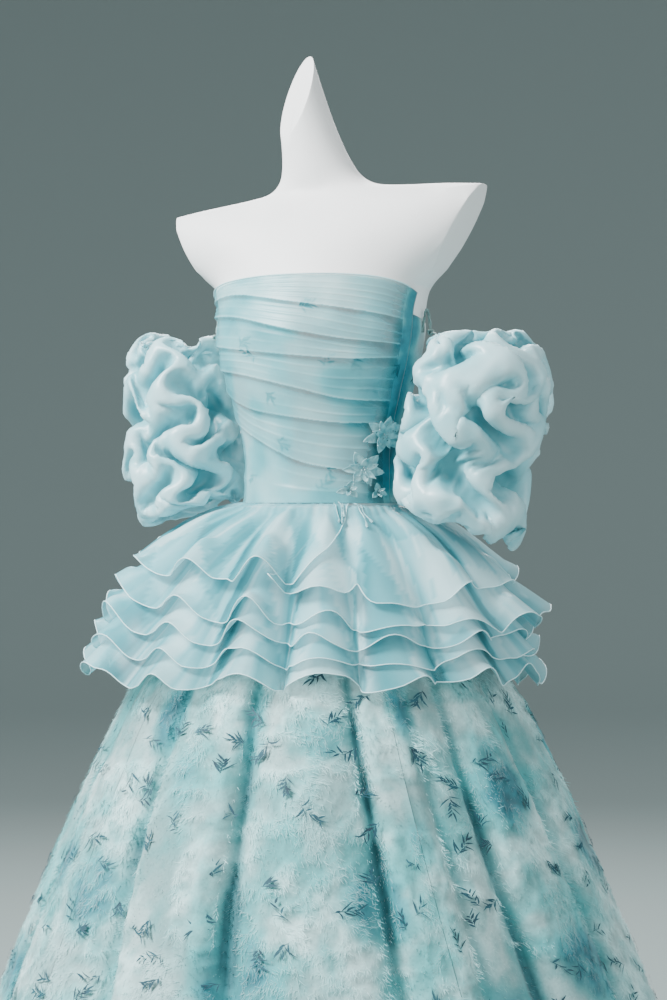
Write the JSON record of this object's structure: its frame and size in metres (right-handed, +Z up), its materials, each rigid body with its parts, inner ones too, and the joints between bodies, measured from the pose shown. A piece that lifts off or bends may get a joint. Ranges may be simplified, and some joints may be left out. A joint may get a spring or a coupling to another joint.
{
  "type": "prom dress on a dress form",
  "caption": "Strapless prom dress with draped organza bodice, layered peplum, puff sleeves and full skirt, on a limbless form.",
  "frame": {"origin": "centre of the base plate's underside, on the floor", "axes": "+Z up, -Y out of the front of the dress, +X towards the wearer's left"},
  "size_m": [1.1843, 1.195, 1.6894],
  "materials": {
    "form_white": "matte white lacquer",
    "stand_metal": "satin white enamel",
    "printed_cloth": "printed organza over satin",
    "organza": "crisp sheer organza with a bright sheen",
    "jacquard": "shaggy clipped jacquard, printed",
    "zip_tape": "woven tape",
    "satin": "satin with seed beads"
  },
  "bodies": {
    "root": {"form_torso": "form_white", "form_pole": "stand_metal", "form_base": "stand_metal", "bodice_front": "printed_cloth", "bodice_back_left": "printed_cloth", "bodice_back_right": "printed_cloth", "back_zip": "zip_tape", "bodice_drape": "organza", "skirt_front": "jacquard", "skirt_side_left": "jacquard", "skirt_side_right": "jacquard", "skirt_back_left": "jacquard", "skirt_back_right": "jacquard", "peplum_1_right": "organza", "peplum_1_left": "organza", "peplum_2": "organza", "peplum_3": "organza", "peplum_4": "organza", "peplum_5": "organza", "sleeve_left": "organza", "sleeve_right": "organza", "sleeve_tie_left": "organza", "sleeve_tie_right": "organza", "flower_upper": "satin", "flower_lower": "satin", "bud_left": "satin", "bud_right": "satin", "bead_cord_1": "satin", "bead_cord_2": "satin"}
  },
  "joints": []
}
